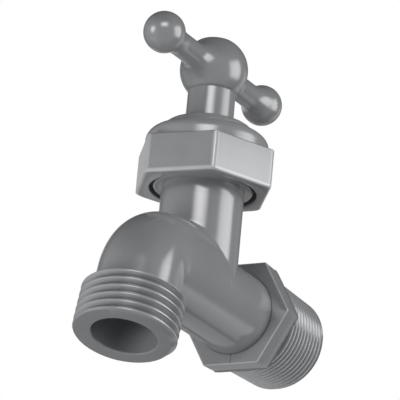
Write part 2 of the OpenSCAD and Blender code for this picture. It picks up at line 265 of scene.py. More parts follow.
def vectorStep(tree, operation, value, given=None):
    # A Vector Math node; what is given with the vector is a fixed vector or the output that scales it
    step = tree.nodes.new("ShaderNodeVectorMath")
    step.operation = operation
    tree.links.new(value, step.inputs[0])
    if isinstance(given, tuple):
        step.inputs[1].default_value = given
    elif given is not None:
        tree.links.new(given, step.inputs["Scale"])
    return step


def between(tree, value, low, high):
    # 1 where a length lies between two limits in mm, 0 elsewhere
    return computed(tree, "MULTIPLY", computed(tree, "GREATER_THAN", value, low * mm),
                    computed(tree, "LESS_THAN", value, high * mm))


def axesOf(tree, place):
    # A vector's X, Y and Z
    split = tree.nodes.new("ShaderNodeSeparateXYZ")
    tree.links.new(place, split.inputs[0])
    return split.outputs


def surfaceVariation():
    # Masks shared by all the finishes: a slow cloudiness, a fine grain and the normals of a moulded skin
    group = bpy.data.node_groups.new("mouldedSkin", "ShaderNodeTree")
    sizes = {"Cloud Scale": 90.0, "Grain Scale": 1800.0, "Skin Scale": 420.0, "Skin Depth": 0.05}
    for name, value in sizes.items():
        socket = group.interface.new_socket(name, in_out="INPUT", socket_type="NodeSocketFloat")
        socket.default_value = value
    for name in ("Cloud", "Grain"):
        group.interface.new_socket(name, in_out="OUTPUT", socket_type="NodeSocketFloat")
    group.interface.new_socket("Normal", in_out="OUTPUT", socket_type="NodeSocketVector")
    nodes, links = group.nodes, group.links
    given, out = nodes.new("NodeGroupInput"), nodes.new("NodeGroupOutput")
    place = nodes.new("ShaderNodeTexCoord")
    noises = {}
    for name, detail in (("Cloud", 3.0), ("Grain", 2.0), ("Skin", 2.0)):
        noise = nodes.new("ShaderNodeTexNoise")
        noise.inputs["Detail"].default_value = detail
        links.new(place.outputs["Object"], noise.inputs["Vector"])
        links.new(given.outputs[name + " Scale"], noise.inputs["Scale"])
        noises[name] = noise.outputs["Fac"]
    bump = nodes.new("ShaderNodeBump")
    bump.inputs["Distance"].default_value = 0.0004
    links.new(given.outputs["Skin Depth"], bump.inputs["Strength"])
    links.new(noises["Skin"], bump.inputs["Height"])
    links.new(noises["Cloud"], out.inputs["Cloud"])
    links.new(noises["Grain"], out.inputs["Grain"])
    links.new(bump.outputs["Normal"], out.inputs["Normal"])
    return group


mouldedSkin = surfaceVariation()


def mouldedMaterial(name, look):
    # Base colour between two shades by the cloud mask, roughness spread by the grain mask
    material = bpy.data.materials.new(name)
    material.use_nodes = True
    nodes, links = material.node_tree.nodes, material.node_tree.links
    shader = nodes["Principled BSDF"]
    skin = nodes.new("ShaderNodeGroup")
    skin.node_tree = mouldedSkin
    skin.inputs["Cloud Scale"].default_value = look["cloudScale"]
    skin.inputs["Skin Scale"].default_value = look["skinScale"]
    skin.inputs["Skin Depth"].default_value = look["skinDepth"]
    shades = nodes.new("ShaderNodeMix")
    shades.data_type = "RGBA"
    shades.inputs["A"].default_value = (*look["dark"], 1)
    shades.inputs["B"].default_value = (*look["light"], 1)
    spread = nodes.new("ShaderNodeMapRange")
    spread.inputs["From Min"].default_value = 0.3
    spread.inputs["From Max"].default_value = 0.7
    spread.inputs["To Min"].default_value = look["roughness"][0]
    spread.inputs["To Max"].default_value = look["roughness"][1]
    links.new(skin.outputs["Cloud"], shades.inputs["Factor"])
    links.new(shades.outputs["Result"], shader.inputs["Base Color"])
    links.new(skin.outputs["Grain"], spread.inputs["Value"])
    links.new(spread.outputs["Result"], shader.inputs["Roughness"])
    links.new(skin.outputs["Normal"], shader.inputs["Normal"])
    shader.inputs["Metallic"].default_value = look.get("metallic", 0)
    shader.inputs["Specular IOR Level"].default_value = look.get("specular", 0.5)
    return material


looks = {
    "bodyPlastic": {
        "slot": "body_plastic", "dark": (0.155, 0.158, 0.164), "light": (0.185, 0.189, 0.197),
        "roughness": (0.12, 0.16), "cloudScale": 60, "skinScale": 420, "skinDepth": 0.04, "specular": 0.8,
    },
    "nutPlastic": {
        "slot": "nut_plastic", "dark": (0.17, 0.173, 0.179), "light": (0.215, 0.219, 0.227),
        "roughness": (0.21, 0.23), "cloudScale": 140, "skinScale": 160, "skinDepth": 0.06, "specular": 0.8,
    },
    "handlePlastic": {
        "slot": "handle_plastic", "dark": (0.15, 0.153, 0.158), "light": (0.175, 0.179, 0.186),
        "roughness": (0.18, 0.22), "cloudScale": 60, "skinScale": 420, "skinDepth": 0.03, "specular": 0.8,
    },
    "innerPlastic": {
        "slot": "inner_plastic", "dark": (0.64, 0.63, 0.58), "light": (0.74, 0.73, 0.68),
        "roughness": (0.4, 0.5), "cloudScale": 90, "skinScale": 600, "skinDepth": 0.05,
    },
    "rubberSeal": {
        "slot": "rubber_seal", "dark": (0.012, 0.012, 0.012), "light": (0.03, 0.03, 0.03),
        "roughness": (0.55, 0.7), "cloudScale": 120, "skinScale": 900, "skinDepth": 0.1,
    },
    "screwBrass": {
        "slot": "screw_brass", "dark": (0.6, 0.43, 0.17), "light": (0.72, 0.54, 0.24),
        "roughness": (0.25, 0.35), "cloudScale": 150, "skinScale": 900, "skinDepth": 0.05, "metallic": 1,
    },
    "stainless": {
        "slot": "stainless", "dark": (0.55, 0.56, 0.57), "light": (0.66, 0.67, 0.68),
        "roughness": (0.22, 0.32), "cloudScale": 150, "skinScale": 900, "skinDepth": 0.05, "metallic": 1,
    },
}
finishes = {look["slot"]: mouldedMaterial(name, look) for name, look in looks.items()}
print("materials made")


# Valve body

body = {
    "columns": 180, "row": 0.4, "fillet": 1.3, "tubeBlend": 1.1,
    "neckRadius": 10.9, "neckFine": 16, "barrelRadius": 11, "barrelFront": 20, "barrelFine": 14,
    "spoutRadius": 10.6, "spoutFlare": 0.25, "spoutRise": 3.2, "bendRadius": 12.5, "bendStart": 16.4,
    "lean": 13.5, "spoutLeg": 17.8, "underThread": 6,
    "chamberRadius": 8, "floor": 1.3, "neckBore": 8.6, "neckStep": 17, "pocketRadius": 10.7, "pocket": 30.6,
    "seatHole": 5, "seatHeight": 1.5, "seatWall": 1.6, "partition": -1.2,
    "headLow": 26.4, "headCollar": 28, "headHigh": 36.2, "headRadius": 13.2, "collarIn": 0.1, "threadIn": 0.8,
    "spoutBore": 7.5, "outletBore": 8.6, "boreEdge": 0.4, "inletBore": 8.2,
    "stemToHex": 22.7, "hexThick": 6.5, "hexFlats": 27.6,
    "hexRound": 0.5, "hexEdge": 0.25, "hexChamfer": 0.35,
    # The hexagon's lines: a painted highlight along the front edge, painted shade in the crease round the
    # barrel, and the mould's line
    "edgeHighlight": (0.3, 0.65), "creaseShade": (0.3, -0.35), "mouldLine": (0.2, -0.35),  # width, how much paler
}
lean = np.radians(body["lean"])
sweep = np.pi / 2 - lean
bendCentre = np.array([0, -body["bendStart"], body["spoutRise"] - body["bendRadius"]])
mouth = bendCentre + [0, -body["bendRadius"] * np.cos(lean) - body["spoutLeg"] * np.sin(lean),
                      body["bendRadius"] * np.sin(lean) - body["spoutLeg"] * np.cos(lean)]


def atMouth(points):
    # Local Z turned out of the mouth, with the origin in its middle
    angle = np.pi - lean
    y = points[..., 1] * np.cos(angle) - points[..., 2] * np.sin(angle)
    z = points[..., 1] * np.sin(angle) + points[..., 2] * np.cos(angle)
    return np.stack([points[..., 0], y, z], -1) + mouth + [0, -stemBack, 0]


def neckGap(points):
    # Distance to the neck's cylinder, growing below the inlet axis, where the neck has ended
    return np.hypot(points[:, 0], points[:, 1]) - body["neckRadius"] + np.clip(-points[:, 2], 0, None)


def barrelGap(points):
    # Distance to a cylinder along Y with a ball at its front end
    past = np.minimum(points[:, 1] + body["barrelFront"], 0)
    return np.sqrt(points[:, 0] ** 2 + past ** 2 + points[:, 2] ** 2) - body["barrelRadius"]


def spoutGap(points):
    # Distance to the spout: straight from the stem to the bend, part of a ring, then straight down the leg
    forward = bendCentre[1] - points[:, 1]
    up = points[:, 2] - bendCentre[2]
    angle = np.arctan2(forward, up)
    flare = body["spoutFlare"] * np.clip(1 - (points[:, 1] / bendCentre[1]), 0, 1)
    straight = np.hypot(points[:, 0], up - body["bendRadius"]) - body["spoutRadius"] - flare
    bend = np.hypot(np.hypot(forward, up) - body["bendRadius"], points[:, 0]) - body["spoutRadius"]
    across = forward * np.sin(sweep) + up * np.cos(sweep) - body["bendRadius"]
    leg = np.hypot(across, points[:, 0]) - body["spoutRadius"]
    nearest = np.where(angle < 0, straight, np.where(angle > sweep, leg, bend))
    return nearest + np.clip(points[:, 1], 0, None)


def slopeOf(gap, points):
    # How fast a distance changes along X, Y and Z
    reach = 0.01
    here = gap(points)
    return np.stack([gap(points + reach * axis) - here for axis in np.eye(3)], 1) / reach


def tubesGap(points):
    # Soft union of the barrel and the spout
    return softLower(barrelGap(points), spoutGap(points), body["tubeBlend"])


def skinGap(points):
    # Soft union of the neck and the tubes: rounded where they cross, left alone where they run side by side
    alike = np.sum(slopeOf(neckGap, points) * slopeOf(tubesGap, points), 1)
    width = body["fillet"] * np.clip(1 - alike, 0.02, 1)
    return softLower(neckGap(points), tubesGap(points), width)


def roundJunctions(piece):
    # Moves the points of the three tubes out onto their soft union, which rounds the creases
    flat = np.empty(len(piece.data.vertices) * 3)
    piece.data.vertices.foreach_get("co", flat)
    points = flat.reshape(-1, 3) / mm + [0, stemBack, 0]
    touching, rounds = 0.02, 4
    onSkin = np.abs(np.min([neckGap(points), barrelGap(points), spoutGap(points)], 0)) < touching
    moving = points[onSkin]
    for attempt in range(rounds):
        slope = slopeOf(skinGap, moving)
        moving = moving - skinGap(moving)[:, None] * slope / np.sum(slope ** 2, 1, keepdims=True)
    points[onSkin] = moving
    piece.data.vertices.foreach_set("co", ((points - [0, stemBack, 0]) * mm).ravel())
    piece.data.update()


def spoutSweep(radiusLine, legLength, row, columns):
    # Circles carried along the spout's middle line: forward from the stem, round the bend, then down the leg
    # radiusLine(length) gives the radius at each length from the bend's start, negative before it
    bendLength = body["bendRadius"] * sweep
    stops = np.concatenate([np.arange(-body["bendStart"], 0, row), np.arange(0, bendLength, row),
                            np.arange(bendLength, bendLength + legLength, row), [bendLength + legLength]])
    along = np.clip(stops, 0, bendLength) / body["bendRadius"]
    outward = np.stack([0 * along, -np.sin(along), np.cos(along)], 1)
    heading = np.stack([0 * along, -np.cos(along), -np.sin(along)], 1)
    middle = bendCentre + body["bendRadius"] * outward
    middle = middle + heading * (stops - np.clip(stops, 0, bendLength))[:, None]
    angle = roundTurn(columns)[None, :, None]
    radius = radiusLine(stops)[:, None, None]
    side = np.array([1, 0, 0])
    rings = middle[:, None] + radius * (np.cos(angle) * side + np.sin(angle) * outward[:, None])
    poles = np.repeat(middle[[0, -1]][:, None], columns + 1, 1)
    return np.concatenate([poles[:1], rings, poles[1:]])


def tubeCore():
    # Neck, barrel and spout as one skin, with rows close together where the junctions are rounded
    columns, row = body["columns"], body["row"]
    neckRadius, barrelRadius, front = body["neckRadius"], body["barrelRadius"], -body["barrelFront"]
    collar, plain = body["headRadius"] - body["collarIn"], body["headRadius"] - body["threadIn"]
    insideHexagon = body["stemToHex"] + 1
    head = [[neckRadius, body["headLow"]], [collar, body["headLow"]], [collar, body["headCollar"]],
            [plain, body["headCollar"]], [plain, body["headHigh"]], [0, body["headHigh"]]]
    neck = np.concatenate([[[0, 0]], dense([[neckRadius, 0], [neckRadius, body["neckFine"]]], row),
                           softened(head, [0.5, 0.3, 0.2, 0])])
    barrel = np.concatenate([arc(0, front, barrelRadius, -90, 0, 44),
                             dense([[barrelRadius, front], [barrelRadius, body["barrelFine"]]], row)[1:],
                             [[barrelRadius, insideHexagon], [0, insideHexagon]]])

    def outside(length):
        # The spout's radius, and the flare that grows towards the stem
        flare = body["spoutFlare"] * np.clip(-length / body["bendStart"], 0, 1)
        return np.where(length < 0, body["spoutRadius"] + flare, body["spoutRadius"])

    spout = spoutSweep(outside, body["spoutLeg"] - body["underThread"], row, columns)
    core = gridObject("valve_body_skin", onStem(revolved(neck, columns)))
    barrel = gridObject("barrel", onStem(alongY(revolved(barrel, columns))))
    combine(core, [barrel, gridObject("spout", onStem(spout))], "UNION")
    roundJunctions(core)
    return core


def inletHexagon():
    # Hexagon along the inlet with soft edges, its corners cut back on the wall's side by a steep cone
    half, thick, soft = body["hexFlats"] / 2, body["hexThick"], body["hexEdge"]
    coneFrom, coneBlend = thick - body["hexChamfer"], 0.3
    profile = np.concatenate([arc(0, soft, soft, -90, 0, 5),
                              dense([[0, coneFrom - 0.8], [0, thick - soft]], 0.1),
                              arc(0, thick - soft, soft, 0, 90, 5)])
    angle = hexAngles(half, body["hexRound"], 0)[None]
    inset, height = profile[:, :1] - soft, profile[:, 1:]
    cone = half / np.cos(np.pi / 6) - 2 * (height - coneFrom)
    flats = hexRadius(half, body["hexRound"], angle)
    radius = softLower(flats + 0 * height, cone + 0 * angle, coneBlend) + inset
    grid = np.stack([radius * np.cos(angle), radius * np.sin(angle), height + 0 * angle], -1)
    poles = np.zeros((1, angle.size, 3))
    grid = np.concatenate([poles, grid, poles + [0, 0, thick]])
    return gridObject("hexagon", onStem(alongY(grid)) + [0, body["stemToHex"], 0])


# crestAt is one crest's height at angle 0; shade is the share of painted shade in the grooves' colour and
# shine, and the next share the painted highlight added on the crests
pipeThread = {
    "radius": 13.24, "taper": 1 / 32, "pitch": 1.814, "depth": 1.15, "crestFlat": 0.5, "crestAt": -0.54,
    "low": -12.2, "high": 8.6, "first": -11.2, "runIn": 0.8, "bevel": 0.4, "columns": 150,
    "shade": 0.85, "paintedHighlight": 0.5, "shadeFrom": -10.9, "shadeTo": 7.9,
}
hoseThread = {
    "radius": 13.45, "pitch": 2.209, "depth": 1.4, "crestFlat": 0.4, "crestAt": -1.006,
    "low": -13.6, "high": 0, "fadeFrom": -12, "fadeTo": -13.6, "sunk": 0.4, "bevel": 0.4, "columns": 150,
    "shade": 0.05, "paintedHighlight": 0.3, "shadeFrom": -13.1, "shadeTo": -0.4,
}


def pipeRadius(height, ridge):
    # Root radius plus the ridge, tapering towards the open end; the ridge starts just off the hexagon
    crest = pipeThread["radius"] - pipeThread["taper"] * height
    start = np.clip((height - pipeThread["first"]) / pipeThread["runIn"], 0, 1)
    radius = crest - pipeThread["depth"] * (1 - ridge * start)
    return np.minimum(radius, crest - pipeThread["bevel"] + (pipeThread["high"] - height))


def hoseRadius(height, ridge):
    # Root radius plus the ridge, bevelled at the mouth, with the last turn falling away into the leg
    top, depth, sunk = hoseThread["radius"], hoseThread["depth"], hoseThread["sunk"]
    fadeFrom, fadeTo = hoseThread["fadeFrom"], hoseThread["fadeTo"]
    fade = np.clip((height - fadeTo) / (fadeFrom - fadeTo), 0, 1)
    root = body["spoutRadius"] - sunk + (top - depth - body["spoutRadius"] + sunk) * fade
    radius = root + depth * ridge * fade
    return np.minimum(radius, top - hoseThread["bevel"] + (hoseThread["high"] - height))


def chamberCavity(columns):
    # The globe chamber, the neck's bore above its step and the pocket for the bushing, open at the top
    floor, step, past = body["floor"], body["neckStep"], body["headHigh"] + 1
    chamber = [[0, floor], [body["chamberRadius"], floor], [body["chamberRadius"], step],
               [body["neckBore"], step], [body["neckBore"], body["pocket"]],
               [body["pocketRadius"], body["pocket"]], [body["pocketRadius"], past], [0, past]]
    return revolved(softened(chamber, [1, 0, 0, 0, 0, 0]), columns)


def spoutCavity(columns):
    # The spout's bore, wider down the leg; in the chamber it goes no lower than the floor
    bendLength = body["bendRadius"] * sweep
    opening = body["chamberRadius"] + 1.2

    def inside(length):
        # From the bend's bore to the leg's over the leg's first 3 mm
        widen = np.clip((length - bendLength) / 3, 0, 1)
        return body["spoutBore"] + (body["outletBore"] - body["spoutBore"]) * widen

    spout = spoutSweep(inside, body["spoutLeg"] + 1, 0.5, columns)
    inChamber = spout[..., 1] > -opening
    spout[..., 2] = np.where(inChamber, np.maximum(spout[..., 2], body["floor"]), spout[..., 2])
    return spout


def inletCavities(columns):
    # The inlet's bore, then the same bore past the seat hole, cut off at the underside of the partition
    bore, wall = body["inletBore"], body["chamberRadius"] + 3
    front, past = -body["seatHole"] - 1.2, 60
    tube = alongY(revolved([[0, wall], [bore, wall], [bore, past], [0, past]], columns))
    passage = alongY(revolved([[0, front], [bore, front], [bore, wall + 0.1], [0, wall + 0.1]], columns))
    passage[..., 2] = np.minimum(passage[..., 2], body["partition"])
    return tube, passage


def mouthRim(columns):
    # A ring that takes the sharp edge off the mouth's bore
    bore, edge = body["outletBore"], body["boreEdge"]
    rim = np.concatenate([[[0, -1], [bore - 0.05, -1], [bore - 0.05, -edge]],
                          arc(bore + edge, -edge, edge, 180, 90, 6), [[bore + edge, 1], [0, 1]]])
    return atMouth(revolved(rim, columns)) - [0, -stemBack, 0]


def cavities():
    # All that is cut out of the body; the seat hole joins the passage to the chamber
    columns = 120
    hole = revolved([[0, -4], [body["seatHole"], -4], [body["seatHole"], 3], [0, 3]], columns)
    shapes = [chamberCavity(columns), hole, spoutCavity(columns), *inletCavities(columns), mouthRim(columns)]
    return [gridObject("cavity", onStem(shape)) for shape in shapes]


def seatRing():
    # A raised ring round the seat hole, its two upper edges round
    low, high = body["floor"] - 0.3, body["floor"] + body["seatHeight"]
    inner, outer = body["seatHole"], body["seatHole"] + body["seatWall"]
    ring = [[inner, low], [outer, low], [outer, high], [inner, high], [inner, low]]
    profile = softened(ring, [0, 0.4, 0.4])
    return gridObject("seat", onStem(revolved(profile, 96)))


def makeBody():
    # Tubes, hexagon and threads joined, the cavities cut out of them, then the seat ring put in
    skin = tubeCore()
    threads = [gridObject("pipe thread", alongY(threadGrid(pipeThread, pipeRadius))),
               gridObject("hose thread", atMouth(threadGrid(hoseThread, hoseRadius)))]
    combine(skin, [inletHexagon(), *threads], "UNION")
    combine(skin, cavities(), "DIFFERENCE")
    combine(skin, [seatRing()], "UNION")
    finishPiece(skin, "valve", "body_plastic", "valve_body")


makeBody()


def grooveShade(tree, place, thread, origin, heading):
    # Painted shade and painted highlight: the share of colour and shine taken away, most in the bottom of a
    # thread's grooves, and added back at its crests
    underRoot = 0.4
    offset = vectorStep(tree, "SUBTRACT", place, tuple(origin * mm)).outputs["Vector"]
    across = vectorStep(tree, "CROSS_PRODUCT", offset, heading).outputs["Vector"]
    radius = vectorStep(tree, "LENGTH", across).outputs["Value"]
    along = vectorStep(tree, "DOT_PRODUCT", offset, heading).outputs["Value"]
    radius = computed(tree, "ADD", radius, computed(tree, "MULTIPLY", along, thread.get("taper", 0)))
    crest, root = thread["radius"] * mm, (thread["radius"] - thread["depth"]) * mm
    depth = tree.nodes.new("ShaderNodeMapRange")
    depth.inputs["From Min"].default_value = crest
    depth.inputs["From Max"].default_value = root
    tree.links.new(radius, depth.inputs["Value"])
    outer = computed(tree, "GREATER_THAN", radius, root - underRoot * mm)
    onThread = computed(tree, "MULTIPLY", outer, between(tree, along, thread["shadeFrom"], thread["shadeTo"]))
    kept, crestHighlight = thread["shade"], thread["paintedHighlight"]
    shade = computed(tree, "MULTIPLY_ADD", depth.outputs[0], kept + crestHighlight, -crestHighlight)
    return computed(tree, "MULTIPLY", onThread, shade)


def hexagonLines(tree, place):
    # A painted highlight on the hexagon's front edge, painted shade in the crease round the barrel, and a
    # darker mould line
    x, y, z = axesOf(tree, place)
    front, half, barrel = body["stemToHex"] - stemBack, body["hexFlats"] / 2, body["barrelRadius"]
    up, aside = computed(tree, "ABSOLUTE", z), computed(tree, "ABSOLUTE", x)
    halfUp = computed(tree, "MULTIPLY", up, 0.5)
    slanted = computed(tree, "MULTIPLY_ADD", aside, float(np.cos(np.pi / 6)), halfUp)
    across = computed(tree, "MAXIMUM", up, slanted)
    radius = computed(tree, "SQRT", computed(tree, "MULTIPLY_ADD", x, x, computed(tree, "MULTIPLY", z, z)))
    edge, highlightShare = body["edgeHighlight"]
    crease, shadeShare = body["creaseShade"]
    line, onLine = body["mouldLine"]
    lines = computed(tree, "MULTIPLY", between(tree, across, half - edge, half + 1), highlightShare)
    nearBarrel = between(tree, radius, barrel - 0.1, barrel + crease)
    lines = computed(tree, "MULTIPLY_ADD", nearBarrel, shadeShare, lines)
    below = computed(tree, "MULTIPLY", between(tree, aside, -1, line), between(tree, z, -half, -barrel))
    lines = computed(tree, "MULTIPLY_ADD", below, onLine, lines)
    return computed(tree, "MULTIPLY", between(tree, y, front - edge, front + edge), lines)


def shadeBody(material):
    # Painted shade in the grooves of both threads and a painted highlight on their crests, in colour and
    # shine, and the hexagon's painted lines and mould line
    tree = material.node_tree
    shader = tree.nodes["Principled BSDF"]
    place = tree.nodes.new("ShaderNodeTexCoord").outputs["Object"]
    out = (0, float(-np.sin(lean)), float(-np.cos(lean)))
    shade = computed(tree, "ADD", grooveShade(tree, place, pipeThread, np.zeros(3), (0, 1, 0)),
                     grooveShade(tree, place, hoseThread, mouth - [0, stemBack, 0], out))
    kept = computed(tree, "ADD", computed(tree, "SUBTRACT", 1, shade), hexagonLines(tree, place))
    colour = shader.inputs["Base Color"].links[0].from_socket
    tree.links.new(vectorStep(tree, "SCALE", colour, kept).outputs["Vector"], shader.inputs["Base Color"])
    shine = shader.inputs["Specular IOR Level"]
    tree.links.new(computed(tree, "MULTIPLY", kept, shine.default_value), shine)


shadeBody(finishes["body_plastic"])


# Bonnet nut

nut = {
    "low": 26.1, "hexHeight": 10.8, "flats": 33.28, "edgeRound": 1.3, "turn": 6.3, "domeRadius": 16.25,
    "domeWall": 1.8, "shoulderRound": 3.2, "domeSlope": 15, "bossFoot": 12.05, "bossHeight": 2.9,
    "bossFlat": 4.8, "bossFullness": 0.87, "mouthRadius": 14.1, "mouthDepth": 2.2,
    "innerRadius": 13.32, "shoulder": 38.2, "towerBore": 9.5, "ceiling": 43.2, "holeRadius": 6.6,
    "lowerEdge": 0.8, "upperEdge": 0.35, "coneOut": 1.9, "coneSlope": 2.1, "coneBlend": 0.8, "coneTop": 2.4,
    # Painted highlights on the edges: the masks, each from its first length to its second
    "uprightHighlight": (18.6, 18.95), "uprightShare": 0.7, "rimTop": (27.5, 26.9), "rimFoot": (26.12, 26.4),
    "rimFrom": 15.9, "paler": 0.7,
}


def nutSides(half, angle):
    # Radii and heights up the six flats: bottom edge, flat and top edge, the lower corners cut by a cone
    low, edge, soft = nut["low"], nut["lowerEdge"], nut["upperEdge"]
    top = low + nut["hexHeight"]
    wall = np.concatenate([arc(-edge, low + edge, edge, -90, 0, 6),
                           dense([[0, low + edge], [0, low + nut["coneTop"]]], 0.3)[1:],
                           arc(-soft, top - soft, soft, 0, 90, 5)])
    inset, height = wall[:, :1], wall[:, 1:]
    around = hexRadius(half, nut["edgeRound"], angle - np.radians(nut["turn"]))
    cone = half + nut["coneOut"] + nut["coneSlope"] * (height - low)
    return softLower(around + 0 * cone, cone + 0 * around, nut["coneBlend"]) + inset, height


def nutTop():
    # Ledge, rounded shoulder and sloping dome, then the rounded boss up to the stem's hole
    top, slope = nut["low"] + nut["hexHeight"], np.radians(nut["domeSlope"])
    foot, flat, fullness = nut["bossFoot"], nut["bossFlat"], nut["bossFullness"]
    shoulder = arc(nut["domeRadius"] - nut["shoulderRound"], top + nut["domeWall"], nut["shoulderRound"],
                   0, 90 - nut["domeSlope"], 14)
    footHeight = shoulder[-1, 1] + (shoulder[-1, 0] - foot) * np.tan(slope)
    turnUp = np.radians(np.linspace(0, 90, 13))[:, None]
    boss = np.concatenate([flat + (foot - flat) * np.cos(turnUp) ** fullness,
                           footHeight + nut["bossHeight"] * np.sin(turnUp) ** fullness], 1)
    crease = softened(np.concatenate([shoulder[-1:], boss[:2]]), [0.5])
    dome = np.concatenate([[[nut["domeRadius"], top]], shoulder, crease[1:-1]])
    boss = boss[1:]
    return dome, boss[boss[:, 0] > nut["holeRadius"] + 0.4]


def makeNut():
    # Once round the wall: mouth, bottom edge, flats, ledge, dome, boss, stem hole, inside
    half, low, hole = nut["flats"] / 2, nut["low"], nut["holeRadius"]
    angle = hexAngles(half, nut["edgeRound"], np.radians(nut["turn"]))[None]

    def rings(radius, height):
        # Radii and heights carried round the hexagon's angles
        return np.stack([radius * np.cos(angle), radius * np.sin(angle), height + 0 * angle], -1)

    mouthEdge = arc(nut["mouthRadius"] + 0.2, low + 0.2, 0.2, 180, 270, 4)
    dome, boss = nutTop()
    bossTop, mouthTop = boss[-1, 1] + 0.1, low + nut["mouthDepth"]
    inside = np.array([[hole + 0.2, bossTop], [hole, bossTop - 0.3], [hole, nut["ceiling"]],
                       [nut["towerBore"], nut["ceiling"]], [nut["towerBore"], nut["shoulder"]],
                       [nut["innerRadius"], nut["shoulder"]], [nut["innerRadius"], mouthTop],
                       [nut["mouthRadius"], mouthTop]])
    profiles = [rings(line[:, :1], line[:, 1:]) for line in (mouthEdge, dome, boss, inside, mouthEdge[:1])]
    grid = np.concatenate([profiles[0], rings(*nutSides(half, angle)), *profiles[1:]])
    piece = gridObject("bonnet_nut_skin", onStem(grid))
    finishPiece(piece, "valve", "nut_plastic", "bonnet_nut")


makeNut()


def paintedEdgeHighlight(material):
    # Painted highlight: a paler colour on the nut's lower rim and its upright edges
    tree = material.node_tree
    shader = tree.nodes["Principled BSDF"]
    place = tree.nodes.new("ShaderNodeTexCoord").outputs["Object"]
    offset = vectorStep(tree, "ADD", place, (0, stemBack * mm, 0))
    x, y, z = axesOf(tree, offset.outputs["Vector"])
    radius = computed(tree, "SQRT", computed(tree, "MULTIPLY_ADD", x, x, computed(tree, "MULTIPLY", y, y)))
    masks = []
    for value, start, end in ((radius, *nut["uprightHighlight"]), (z, *nut["rimTop"]), (z, *nut["rimFoot"])):
        ramp = tree.nodes.new("ShaderNodeMapRange")
        ramp.interpolation_type = "SMOOTHSTEP"
        ramp.inputs["From Min"].default_value = start * mm
        ramp.inputs["From Max"].default_value = end * mm
        tree.links.new(value, ramp.inputs["Value"])
        masks.append(ramp.outputs[0])
    upright, belowTop, aboveFoot = masks
    outside = computed(tree, "GREATER_THAN", radius, nut["rimFrom"] * mm)
    rim = computed(tree, "MULTIPLY", outside, computed(tree, "MULTIPLY", belowTop, aboveFoot))
    paintedHighlight = computed(tree, "MAXIMUM", computed(tree, "MULTIPLY", upright, nut["uprightShare"]), rim)
    colour = shader.inputs["Base Color"].links[0].from_socket
    paler = vectorStep(tree, "SCALE", colour, computed(tree, "MULTIPLY_ADD", paintedHighlight, nut["paler"], 1))
    tree.links.new(paler.outputs["Vector"], shader.inputs["Base Color"])


paintedEdgeHighlight(finishes["nut_plastic"])


# Stem

stem = {
    "radius": 6.3, "low": 9.1, "tip": 3.2, "journal": 4.8, "journalLow": 12.7,
    "threadLow": 15.6, "threadHigh": 26.4, "drive": 7, "driveTop": 61.7,
    "grooves": (33, 35.8), "grooveDepth": 1.75, "wire": 0.9, "screwRadius": 2, "screwDepth": 9,
}
handle = {
    "hubZ": 60.1, "hubRadius": 9, "arm": 27.4, "knobRadius": 5.5, "armRadius": 3.3,
    "armRise": 0.3, "riseFrom": 5, "riseOver": 5, "innerRound": 7, "outerRound": 12,
    "recessRadius": 4.3, "recess": 63.5, "screwHole": 2.2, "driveGap": 0.02, "columns": 120,
}
# The hub rests on the stem's shoulder, where its ball is as wide as the stem
stem["shoulder"] = handle["hubZ"] - np.sqrt(handle["hubRadius"] ** 2 - stem["radius"] ** 2)
stemThread = {
    "radius": 7, "pitch": 2.5, "depth": 0.9, "crestFlat": 0.5, "crestAt": 16.5, "low": 15.6, "high": 26.4,
    "columns": 96,
}


def makeStem():
    # Tip, journal, shaft with two grooves, and the square that drives it; the thread is joined on
    low, tip, journal, radius = stem["low"], stem["tip"], stem["journal"], stem["radius"]
    core, threadLow, threadHigh = radius - 0.3, stem["threadLow"] + 0.5, stem["threadHigh"]
    bottom, wire, shoulder = radius - stem["grooveDepth"], stem["wire"], stem["shoulder"]
    shaft = [[0, low], [tip - 0.5, low], [tip, low + 0.6], [tip, stem["journalLow"]],
             [journal, stem["journalLow"]], [journal, threadLow], [core, threadLow], [core, threadHigh],
             [radius, threadHigh]]
    for z in stem["grooves"]:
        shaft += [[radius, z - wire], [bottom, z - wire], [bottom, z + wire], [radius, z + wire]]
    shaft += [[radius, shoulder - 0.15], [radius - 0.15, shoulder], [0, shoulder]]
    piece = gridObject("stem_skin", onStem(revolved(shaft, 120)))

    def ridgeRadius(height, ridge):
        # Root radius plus the ridge
        return stemThread["radius"] - stemThread["depth"] * (1 - ridge)

    thread = gridObject("stem thread", onStem(threadGrid(stemThread, ridgeRadius)))
    drive = gridObject("drive", onStem(squarePrism(stem["drive"] / 2, shoulder - 1, stem["driveTop"])))
    combine(piece, [thread, drive], "UNION")
    hole, deep, past = stem["screwRadius"], stem["driveTop"] - stem["screwDepth"], stem["driveTop"] + 1
    screwHole = revolved([[0, deep], [hole, deep], [hole, past], [0, past]], 48)
    combine(piece, [gridObject("screw hole", onStem(screwHole))], "DIFFERENCE")
    finishPiece(piece, "spindle", "handle_plastic", "stem")


makeStem()


# Handle

def armProfile():
    # From the middle outwards: ball, hollow round, arm, long hollow round, end ball; (radius, distance out)
    hub, knob, thin = handle["hubRadius"], handle["knobRadius"], handle["armRadius"]
    inner, outer, out = handle["innerRound"], handle["outerRound"], handle["arm"]
    innerAt = np.sqrt((hub + inner) ** 2 - (thin + inner) ** 2)
    outerAt = out - np.sqrt((knob + outer) ** 2 - (thin + outer) ** 2)
    hubTurn = np.degrees(np.arctan2(thin + inner, innerAt))
    knobTurn = np.degrees(np.arctan2(thin + outer, out - outerAt))
    return np.concatenate([
        arc(0, 0, hub, 0, 90 - hubTurn, 22),
        arc(thin + inner, innerAt, inner, -90 - hubTurn, -180, 16)[1:],
        arc(thin + outer, outerAt, outer, 180, 90 + knobTurn, 20),
        arc(0, out, knob, -90 + knobTurn, 90, 40)[1:],
    ])


